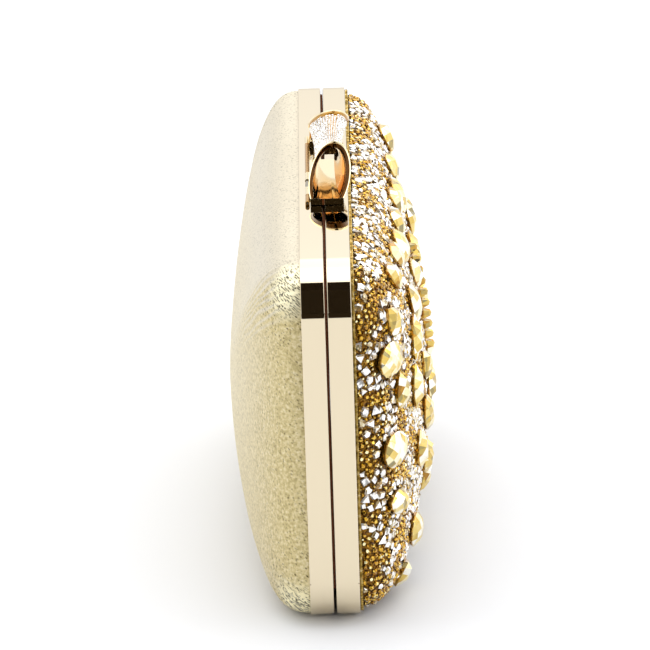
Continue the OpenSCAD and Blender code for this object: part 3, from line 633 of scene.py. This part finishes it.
front_shape = (1.6, front_swell, front_form)
layer = nodes["crystal_carpet"].data
layer_faces = [face.vertices[:] for face in layer.polygons]
layer_tree = BVHTree.FromPolygons([point.co for point in layer.vertices], layer_faces)
to_front = Vector((1, -1, 1))


def front_point(angle, share):
    """A point of the front dome and its outward direction."""
    return [v * to_front for v in (dome_point(angle, share, *front_shape), dome_direction(angle, share, *front_shape))]


def layer_level(angle, share):
    """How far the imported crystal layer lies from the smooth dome: 0 on a clump, less in a hollow."""
    smooth, out = front_point(angle, share)
    hit = layer_tree.ray_cast((smooth + out) * MM, -out, 3 * MM)[0]
    return (hit / MM - smooth).dot(out) if hit else 0


def bed_level(angle, share):
    """How far the bed lies from the smooth dome."""
    return layer_level(angle, share) - bed_depth


bed_depth = 0.95
make_piece(
    "Crystal_bed", dome_skin(*front_shape, -1, 40, bed_level), bed_mix, "front_half",
    ["crystal_carpet"], 80,
)

# %% [markdown]
# ## Cut stones
# All stones are foil-backed glass: the foil throws light back as sparks of white, honey and near black.
# Tracing that through thousands of pieces of glass would be slow. Each flat facet instead gets a painted brightness of
# its own,
# kept as an attribute named spark: painted glints, brightest on flat facets, and painted shade on steep ones. The
# recipe turns it into the colour of a mirror under a clear coat.

# %% Recipe of the stones
def cut_glass(name, tints, facet, bend, mirror):
    """Foil-backed glass: a painted brightness for each facet, glint or shade, broken up by inner cuts some facet
    millimetres wide.
    """
    finish, tree, skin, where = new_finish(name, {
        "Metallic": mirror, "Roughness": 0.06, "Coat Weight": 0.6, "Coat Roughness": 0.02,
    })
    cells = add(tree, "TexVoronoi", {"Scale": 1000 / facet}, {0: where}, distance="MANHATTAN").outputs["Color"]
    centred = add(tree, "VectorMath", {1: (0.5, 0.5, 0.5)}, {0: cells}, operation="SUBTRACT")
    spread = add(tree, "VectorMath", {"Scale": bend}, {0: centred}, operation="SCALE")
    plain = add(tree, "NewGeometry").outputs["Normal"]
    bent = add(tree, "VectorMath", links={0: plain, 1: spread}, operation="ADD")
    unit = add(tree, "VectorMath", links={0: bent}, operation="NORMALIZE")
    spark = add(tree, "Attribute", attribute_name="spark").outputs["Fac"]
    parts = add(tree, "SeparateColor", links={0: cells})
    blend = add(tree, "Math", {1: 0.16}, {0: parts.outputs[2], 2: spark}, operation="MULTIPLY_ADD")
    join(skin, {"Normal": unit, "Base Color": add(tree, "ValToRGB", links={0: blend}, stops=tints)})
    return finish


clear_glass = cut_glass("Clear foil-backed crystal", [
    (0.0, "#181824"), (0.05, "#3b270c"), (0.16, "#86642a"), (0.27, "#d9cba2"), (0.36, "#ffffff"), (1.0, "#ffffff"),
], 0.9, 0.4, 0.6)
gold_glass = cut_glass("Topaz foil-backed crystal", [
    (0.0, "#332003"), (0.25, "#87590a"), (0.55, "#cd9920"), (0.85, "#eec84e"), (1.0, "#fff6c0"),
], 0.7, 0.9, 0.9)
champagne_glass = cut_glass("Champagne cut glass", [
    (0.0, "#7c520c"), (0.18, "#b98722"), (0.3, "#d8b04a"), (0.4, "#857c50"), (0.52, "#d9b856"), (0.72, "#ecd380"),
    (0.87, "#f8ebbc"), (1.0, "#fffdf0"),
], 4.0, 0.16, 0.8)
print("Three kinds of stones are mixed")

# %% [markdown]
# ## How a stone is cut
# A small stone is a disc whose top face is raised ring by ring. A large one has a checkerboard crown: a
# turned grid is trimmed to the outline with the bisect operator and raised to a dome, and its border is
# pulled down to the foot.

# %% Cut the small stones
def grow_cap(shape, face, size, rise, turn):
    """Raises a face into the next ring of a cut: scaled, lifted and turned."""
    grown = bmesh.ops.extrude_face_region(shape, geom=[face])["geom"]
    points = [part for part in grown if isinstance(part, bmesh.types.BMVert)]
    bmesh.ops.scale(shape, vec=(size, size, 1), verts=points)
    bmesh.ops.rotate(shape, cent=(0, 0, 0), matrix=Matrix.Rotation(turn, 3, "Z"), verts=points)
    bmesh.ops.translate(shape, vec=(0, 0, rise), verts=points)
    return next(part for part in grown if isinstance(part, bmesh.types.BMFace))


def keep_cut(name, shape):
    """Ends a cut: faces turned outwards and kept as a mesh to copy."""
    bmesh.ops.recalc_face_normals(shape, faces=shape.faces)
    mesh = to_mesh(name, shape)
    print(f"{name}: {len(mesh.polygons)} facets")
    return mesh


def disc_cut(name, sides, rings, uneven=0.0):
    """A stone that fills a circle of radius 1, through rings of (size against the last, rise, turned or not)."""
    shape = bmesh.new()
    fuller = math.sqrt(math.pi / (sides / 2 * math.sin(2 * math.pi / sides)))
    bmesh.ops.create_circle(shape, cap_ends=True, segments=sides, radius=fuller)
    for point in shape.verts:
        point.co *= random.uniform(1 - uneven, 1 + uneven)
    shape.faces.ensure_lookup_table()
    face = shape.faces[0]
    for size, rise, turned in rings:
        last, face = face, grow_cap(shape, face, size, rise, math.pi / sides if turned else 0)
        if last.is_valid and last.calc_center_median().z > 0:
            shape.faces.remove(last)
    bmesh.ops.triangulate(shape, faces=[part for part in shape.faces if len(part.verts) == 4])
    return keep_cut(name, shape)


random.seed(3)
clear_cuts = [
    disc_cut(f"Broken cut {i}", sides, [(1, 0.4, False), (0.66, 0.6, False)], 0.24)
    for i, sides in enumerate((4, 5, 3, 4, 6, 5))
]
round_cut = disc_cut("Round cut", 8, [(1, 0.42, False), (0.6, 0.58, True)])
bead_cut = disc_cut("Bead cut", 6, [(1, 0.42, False), (0.55, 0.58, True)])

# %% Cut the large stones
stone_h, sink = 3.1, 0.8


def pinched(along, pinch):
    """How narrow a stone is at a place along it, from -1 to 1, against an oval one."""
    return ((1 - along) / 2) ** pinch[0] * ((1 + along) / 2) ** pinch[1]


def checker_cut(name, length, width, pinch, tile, sides):
    """A stone in millimetres with a checkerboard crown. A pinch draws its ends along X to a point."""
    outline = []
    for step in range(sides):
        turn = 2 * math.pi * (step + 0.5) / sides
        outline.append(Vector((math.cos(turn), math.sin(turn) * pinched(math.cos(turn), pinch), 0)))
    ends = [max(abs(point[i]) for point in outline) for i in (0, 1)]
    outline = [Vector((point.x / ends[0] * length / 2, point.y / ends[1] * width / 2, 0)) for point in outline]
    shape = bmesh.new()
    count = 2 * math.ceil(length / tile / 1.4)
    bmesh.ops.create_grid(shape, x_segments=count, y_segments=count, size=count * tile / 2)
    bmesh.ops.rotate(shape, cent=(0, 0, 0), matrix=Matrix.Rotation(math.pi / 4, 3, "Z"), verts=shape.verts)
    sides = list(zip(outline, outline[1:] + outline[:1]))
    for start, end in sides:
        along = end - start
        bmesh.ops.bisect_plane(
            shape, geom=[*shape.verts, *shape.edges, *shape.faces], dist=0.01, plane_co=start,
            plane_no=(along.y, -along.x, 0), clear_outer=True,
        )
    bmesh.ops.remove_doubles(shape, verts=shape.verts, dist=0.25)
    planes = [(start, Vector((end.y - start.y, start.x - end.x, 0)).normalized()) for start, end in sides]
    for point in shape.verts:
        nearness = max(point.co.dot(out) / start.dot(out) for start, out in planes)
        point.co.z = sink + stone_h * (0.22 + 0.78 * (1 - min(1, nearness) ** 3.2))
    for low, size in [(sink + 0.1 * stone_h, 1), (0, 0.9)]:
        border = [edge for edge in shape.edges if edge.is_boundary]
        wall = bmesh.ops.extrude_edge_only(shape, edges=border)["geom"]
        for point in [part for part in wall if isinstance(part, bmesh.types.BMVert)]:
            point.co = (point.co.x * size, point.co.y * size, low)
    bmesh.ops.holes_fill(shape, edges=[edge for edge in shape.edges if edge.is_boundary])
    return keep_cut(name, shape)


print(f"The large stones are {stone_h} mm high and sink {sink} mm into the bed")

# %% Set stones by copying a cut
def set_stones(name, cuts, places, glitter, finish, body, stands_for=()):
    """Copies the cuts in turn to every place. Glitter lists how flat facets are and their sparks: painted glints,
    brightest on flat facets, and painted shade on steep ones.
    """
    points, facets, sparks = [], [], []
    for number, matrix in enumerate(places):
        cut = cuts[number % len(cuts)]
        first = len(points)
        points += [matrix @ point.co * MM for point in cut.vertices]
        facets += [[corner + first for corner in facet.vertices] for facet in cut.polygons]
        for facet in cut.polygons:
            sparks.append(random.uniform(*next(span for flat, *span in glitter if facet.normal.z > flat)))
    mesh = bpy.data.meshes.new(name)
    mesh.from_pydata(points, [], facets)
    mesh.attributes.new("spark", "FLOAT", "FACE").data.foreach_set("value", sparks)
    print(f"{name}: {len(places)} stones")
    return place_piece(name, mesh, finish, body, stands_for)


def standing(foot, out, along, length, width, height):
    """The matrix that stands a stone of radius 1 and height 1 on its foot."""
    out, along = Vector(out).normalized(), Vector(along)
    along = (along - along.dot(out) * out).normalized()
    across = out.cross(along)
    return Matrix((
        (*(along * length / 2), 0), (*(across * width / 2), 0), (*(out * height), 0), (*foot, 1)
    )).transposed()


# %% [markdown]
# ## The large stones
# Champagne ovals, pointed ovals, drops and a row of small squares stand in pairs, left and right, at the
# places of the CAD solids, and sink a little into the bed. Real stones are never set quite level, so
# each leans by a degree or two.

# %% Set the large stones
random.seed(5)
oval_places = [
    (181, 0.9, 88), (163, 0.915, 85), (208, 0.73, 60), (142, 0.655, 55), (120, 0.8, 75), (236, 0.8, 65),
    (183, 0.37, 60),
]
pointed_places = [
    (168, 0.66, -5), (192.5, 0.885, 75), (154.5, 0.655, -25), (188, 0.6, 15), (108, 0.6, 40), (250, 0.62, -40),
    (172, 0.17, -30),
]
drop_places = [
    (168.5, 0.845, 10), (155.3, 0.895, 40), (145.5, 0.89, 60), (134, 0.86, 70), (203, 0.44, -40), (212, 0.87, 40),
    (158, 0.4, 40), (102, 0.84, -60), (257, 0.84, 60), (222, 0.52, 20),
]
square_places = [(90, 0.66 - i * 3.3 / (case_h / 2), 0) for i in range(10)]


def stone_standing(angle, share, spin):
    """Where a large stone of the front half stands, with its length at a turn from upright."""
    foot, out = front_point(math.radians(angle), share)
    upright = (Vector((0, 0, 1)) - out.z * out).normalized()
    along = math.cos(math.radians(spin)) * upright + math.sin(math.radians(spin)) * out.cross(upright)
    lean = Vector([random.uniform(-0.02, 0.02) for _ in range(3)])
    return standing(foot - sink * out, out + lean, along, 2, 2, 1)


large_places = []
glitter = [(0.62, 0.34, 1), (0.25, 0.05, 0.5), (-2, 0, 0.25)]
for name, node, places, cut in [
    ("Oval", "oval_stones", oval_places, (16, 11.4, (0, 0), 2.5, 16)),
    ("Pointed", "navette_stones", pointed_places, (15, 8.4, (0.3, 0.3), 2.5, 16)),
    ("Drop", "drop_stones", drop_places, (12.4, 9.4, (0.6, 0), 2.5, 16)),
    ("Square", "square_stones", square_places, (2.8, 2.8, (0, 0), 1.2, 4)),
]:
    length, width, pinch = cut[:3]
    both = places + [(180 - angle, share, -spin) for angle, share, spin in places if angle != 90]
    stood = [stone_standing(*place) for place in both]
    large_places += [(matrix, length / 2, width / 2, pinch) for matrix in stood]
    cuts = [checker_cut(f"{name} cut", *cut)]
    set_stones(f"{name}_stones", cuts, stood, glitter, champagne_glass, "front_half", [node])

# %% [markdown]
# ## The carpet of small crystals
# Between them lie thousands of small stones that touch but never form rows. Throwing points at the dome
# and keeping those that fit gives that look: big clear crystals go first, in loose clusters on the
# clumps, then gold ones of falling size fill what is left.

# %% Throw the small crystals
dice = np.random.default_rng(11)
rings = 80
net, levels = [], []
for angle in dome_angles + dome_angles[:1]:
    for ring in range(rings + 1):
        share = math.cos(math.pi / 2 * ring / rings)
        smooth, out = front_point(angle, share)
        levels.append(layer_level(angle, share))
        net.append(smooth + (levels[-1] - bed_depth) * out)
net, levels = np.array(net).reshape(-1, rings + 1, 3), np.array(levels).reshape(-1, rings + 1)
corner_a, corner_b, corner_c, corner_d = net[:-1, :-1], net[1:, :-1], net[1:, 1:], net[:-1, 1:]
slant = np.cross(corner_c - corner_a, corner_d - corner_b)
area = np.linalg.norm(slant, axis=-1) / 2
chosen = dice.choice(area.size, 90000, p=(area / area.sum()).ravel())
rows_i, rows_j = np.unravel_index(chosen, area.shape)
s, t = dice.random((2, len(chosen), 1))
thrown = (
    (1 - s) * (1 - t) * corner_a[rows_i, rows_j] + s * (1 - t) * corner_b[rows_i, rows_j]
    + s * t * corner_c[rows_i, rows_j] + (1 - s) * t * corner_d[rows_i, rows_j]
)
outward = slant[rows_i, rows_j]
outward /= np.linalg.norm(outward, axis=1, keepdims=True)
outward *= np.where(outward[:, 1:2] > 0, -1, 1)

# Room between each thrown point and the nearest large stone
room_left = np.full(len(thrown), 99.0)
turns = np.linspace(0.01, np.pi - 0.01, 60)
for matrix, half_l, half_w, pinch in large_places:
    local = np.c_[thrown, np.ones(len(thrown))] @ np.array(matrix.inverted()).T
    widest = (np.sin(turns) * pinched(np.cos(turns), pinch)).max()
    narrow = pinched(np.clip(local[:, 0] / half_l, -0.97, 0.97), pinch) / widest
    reach = np.hypot(local[:, 0] / half_l, local[:, 1] / (half_w * narrow))
    near = np.abs(local[:, 2]) < 4
    room_left = np.where(near, np.minimum(room_left, (reach - 1) * half_w), room_left)
print(f"The bed has {area.sum():.0f} square millimetres, and {len(thrown)} points are thrown at it")

# %% Keep the crystals that fit
cells, kept = {}, {"clear": [], "gold": []}


def fits(point, radius):
    """Whether a crystal touches none that was set before."""
    home = [int(c // 3.2) for c in point]
    for step in itertools.product((-1, 0, 1), repeat=3):
        for other, size in cells.get(tuple(a + b for a, b in zip(home, step)), ()):
            if (other - point).length < 0.96 * (radius + size):
                return False
    return True


points = [Vector(point) for point in thrown]
heights = levels[rows_i, rows_j]
clusters = [1.1 * noise.noise(point / 8) + 0.5 * (0.45 + height) for point, height in zip(points, heights)]
for kind, radius, low, high in [
    ("clear", 1.55, 0.14, 9), ("clear", 1.35, 0.1, 9), ("clear", 1.1, 0.04, 9), ("gold", 1.0, -9, 0.2),
    ("gold", 0.85, -9, 9), ("gold", 0.7, -9, 9), ("gold", 0.55, -9, 9),
]:
    for i, point in enumerate(points):
        free = low < clusters[i] < high and room_left[i] > 0.3 * radius and point.y < -8.9 - 0.5 * radius
        if free and fits(point, radius):
            cells.setdefault(tuple(int(c // 3.2) for c in point), []).append((point, radius))
            kept[kind].append((point, Vector(outward[i]), radius))
for kind, cuts, finish, glitter in [
    ("clear", clear_cuts, clear_glass, [(0.9, 0.1, 1), (0.25, 0, 0.45), (-2, 0, 0.12)]),
    ("gold", [bead_cut], gold_glass, [(0.9, 0.3, 1), (0.25, 0, 0.8), (-2, 0, 0.15)]),
]:
    places = []
    for point, out, radius in kept[kind]:
        lean = Vector([random.uniform(-0.22, 0.22) for _ in range(3)])
        along = Vector([random.uniform(-1, 1) for _ in range(3)])
        high = bed_depth * (0.72 + 0.28 * radius / 1.6)
        places.append(standing(point - 0.25 * out, out + lean, along, 2 * radius, 1.85 * radius, high + 0.25))
    set_stones(f"Small_{kind}_crystals", cuts, places, glitter, finish, "front_half")
covered = sum(math.pi * radius ** 2 for _, _, radius in kept["clear"])
print(f"Clear crystals cover {covered / area.sum():.0%} of the bed")

# %% [markdown]
# ## The braid
# A narrow gilt braid, a plait of three strands, hides the edge of the bed. Each strand swings from side
# to side a third of a turn after the last, and rises and dips twice as often to pass the others.

# %% Plait the braid round the rim
gilt, tree, skin, where = new_finish("Gilt braid wire", {"Metallic": 1.0, "Roughness": 0.3})
worn = add(tree, "TexNoise", {"Scale": 700.0, "Detail": 2.0}, {0: where})
tones = add(tree, "ValToRGB", links={0: worn}, stops=[(0.3, "#6e5722"), (0.55, "#c9a957"), (0.75, "#f6e8b8")])
join(skin, {"Base Color": tones})
braid_path = path_round(70, 560, 278)
gaps = [math.dist(a[:2], b[:2]) for a, b in zip(braid_path, braid_path[1:] + braid_path[:1])]
gone = [sum(gaps[:i]) for i in range(len(gaps))]
waves = round(sum(gaps) / 2.4)


def braid_point(column, row, strand):
    """A point on the surface of a strand."""
    column %= len(braid_path)
    x, z, out_x, out_z = braid_path[column]
    turn = 2 * math.pi * (waves * gone[column] / sum(gaps) + strand / 3)
    around = 2 * math.pi * row / 5
    y = -8.5 + 0.34 * math.sin(turn) + 0.2 * math.cos(around)
    depth = 1.2 - 0.2 * math.sin(2 * turn) + 0.2 * math.sin(around)
    return x - depth * out_x, y, z - depth * out_z


braid = wrap_grid(len(braid_path), 5, braid_point, [(0,), (1,), (2,)])
make_piece("Gilt_braid", braid, gilt, "front_half", ["rim_braid"], 80)
print(f"Each strand swings {waves} times")

# %% [markdown]
# ## The bow of the clasp
# The clasp is a hollow arch, wide at both mouths and narrow in the middle, by the formula of the CAD
# source. The skin goes up the outside and back along the inside as one closed loop, and at both ends
# the loop closes on itself, which makes the edge of the sheet.

# %% Press the bow
bow_foot, bow_top, bow_z, bow_t, bow_turn = 37, 17, 122.4, 0.5, 125


def bow_point(v, turn, out):
    """A point of the bow: v from -1 to 1 along it, turn in degrees from its crown."""
    low = math.cos(math.radians(bow_turn))
    arch = (math.cos(math.radians(turn)) - low) / (1 - low)
    half = 10.9 / 2 * (0.58 + 0.42 * abs(v) ** 2.5) + out
    high = 10.8 * (0.74 + 0.26 * abs(v) ** 2) + 1.7 * out
    return Vector((
        v * (bow_foot + (bow_top - bow_foot) * arch),
        -1.2 + half * math.sin(math.radians(turn)) - 0.22 * high * arch,
        bow_z + high * arch,
    ))


bow_end = 1 - 1 / bow_top


def bow_skin(low, high, columns=42, turns=60):
    """A closed wall of the bow between two distances from its inner face."""
    loop = 2 * (turns + 1)

    def place(column, row):
        row %= loop
        outer = row <= turns
        share = row if outer else loop - 1 - row
        v = -bow_end + 2 * bow_end * min(max(column - 1, 0), columns - 2) / (columns - 2)
        flat = column in (0, columns)
        return bow_point(v, bow_turn * (2 * share / turns - 1), high if outer and not flat else low)
    return wrap_grid(columns, loop, place)


even_shading(make_piece("Bow_cuff", bow_skin(0, bow_t), bow_gold, "clasp", ["bow_cuff"]))

# %% Set the small stones on the bow
random.seed(8)
seat = bow_t + 0.05
make_piece("Bow_stone_bed", bow_skin(seat, seat + 0.25), old_gold, "clasp")
pave_places = []
pave_rows = 25
for row in range(pave_rows):
    turn = -112 + 224 * row / (pave_rows - 1)
    v = -bow_end + (0.03 if row % 2 else 0.055)
    while v < bow_end - 0.02:
        here = bow_point(v, turn, seat + 0.1)
        along = bow_point(v + 0.01, turn, seat + 0.1) - here
        beside = bow_point(v, turn + 1, seat + 0.1) - here
        radius = min(0.56, 0.5 * beside.length * 224 / (pave_rows - 1))
        out = along.cross(beside)
        out = out if out.dot(here - Vector((here.x, -1.2, bow_z + 3))) > 0 else -out
        pave_places.append(standing(here, out, along, 1.65 * radius, 1.9 * radius, 0.5))
        v += 2.02 * radius / along.length * 0.01
glitter = [(0.9, 0.12, 1), (0.25, 0, 0.7), (-2, 0, 0.2)]
set_stones("Bow_stones", [round_cut], pave_places, glitter, clear_glass, "clasp", ["bow_pave"])

# %% [markdown]
# ## The rims of the bow
# Each mouth is edged with three strips: a thin bright bead outside, a bevel inside it coloured dark with a painted
# dark reflection, and a deep gold collar behind them. The section of each is drawn once and carried along the edge of
# the mouth.

# %% Roll the rims
rim_turns = 64


def rim_point(column, row, end):
    """A point of a rim at one end of the bow."""
    back, out = outline[row % len(outline)] if 0 < column < rim_turns + 2 else (0.45, 0.9)
    turn = bow_turn * (2 * min(max(column - 1, 0), rim_turns) / rim_turns - 1)
    return bow_point(end * (1 - back / bow_top), turn, out)


for name, corners, finish, stands_for in [
    ("Bow_rims", [(0.0, 0.86, 0.1), (0.5, 0.86, 0.1), (0.5, 1.3, 0.15), (0.0, 1.3, 0.2)], rim_gold, ["bow_rims"]),
    # The bevels carry the painted dark reflection
    ("Bow_rim_bevels", [(0.1, 0.0, 0.04), (0.5, 0.0, 0.04), (0.5, 0.95, 0.04), (0.1, 0.95, 0.04)], bronze, ()),
    ("Bow_rim_collars", [(0.4, 0.0, 0.05), (1.0, 0.0, 0.05), (1.0, 1.16, 0.1), (0.4, 1.16, 0.05)], old_gold, ()),
]:
    outline = soft_outline(corners, 3)
    rims = wrap_grid(rim_turns + 2, len(outline), rim_point, [(-1,), (1,)])
    make_piece(name, rims, finish, "clasp", stands_for, 60)

# %% [markdown]
# ## Foot plates and small metal parts
# The CAD solids of the plates under the bow have the right shape but knife-sharp edges, which no
# polished part has. So a copy is merged, its flat faces are joined again, and its edges are softened
# with the bevel operator.

# %% Soften the plates and lugs
def softened(node, width):
    """A copy of a CAD solid with its sharp edges rounded off."""
    shape = bmesh.new()
    shape.from_mesh(nodes[node].data)
    bmesh.ops.remove_doubles(shape, verts=shape.verts, dist=0.002 * MM)
    bmesh.ops.dissolve_limit(shape, angle_limit=math.radians(1), verts=shape.verts, edges=shape.edges)
    sharp = [edge for edge in shape.edges if len(edge.link_faces) == 2 and edge.calc_face_angle() > math.radians(40)]
    bmesh.ops.bevel(
        shape, geom=sharp, offset=width * MM, offset_type="OFFSET", segments=3, profile=0.5, affect="EDGES",
        material=-1, clamp_overlap=True,
    )
    return shape


for name, node, body, finish in [
    ("Foot_plates", "foot_plates", "clasp", rim_gold),
    ("Clasp_lugs", "clasp_lugs", "back_half", old_gold),
]:
    even_shading(make_piece(name, softened(node, 0.32), finish, body, [node]))

for finish, names in [
    (drawn_sheet, "back_shell front_shell"),
    (hinge_gold, "back_hinge_leaf front_hinge_leaf back_hinge_rivets front_hinge_rivets catch_rivets latch_tooth"),
    (spring_steel, "hinge_pin clasp_pin clasp_spring catch_spring"),
]:
    for node in names.split():
        for holder in nodes[node].material_slots:
            holder.material = finish
print("The small metal parts have their finishes")

# %% [markdown]
# ## The sizes
# Both boxes, of the imported solids and of the dressed bag, are written out so that they can be compared.

# %% Write the sizes
dressed_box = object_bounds()
sizes = {"solids": [list(corner) for corner in solid_box], "dressed": [list(corner) for corner in dressed_box]}
for name, (low, high) in sizes.items():
    print(name, [round(1000 * (b - a), 1) for a, b in zip(low, high)], "mm")
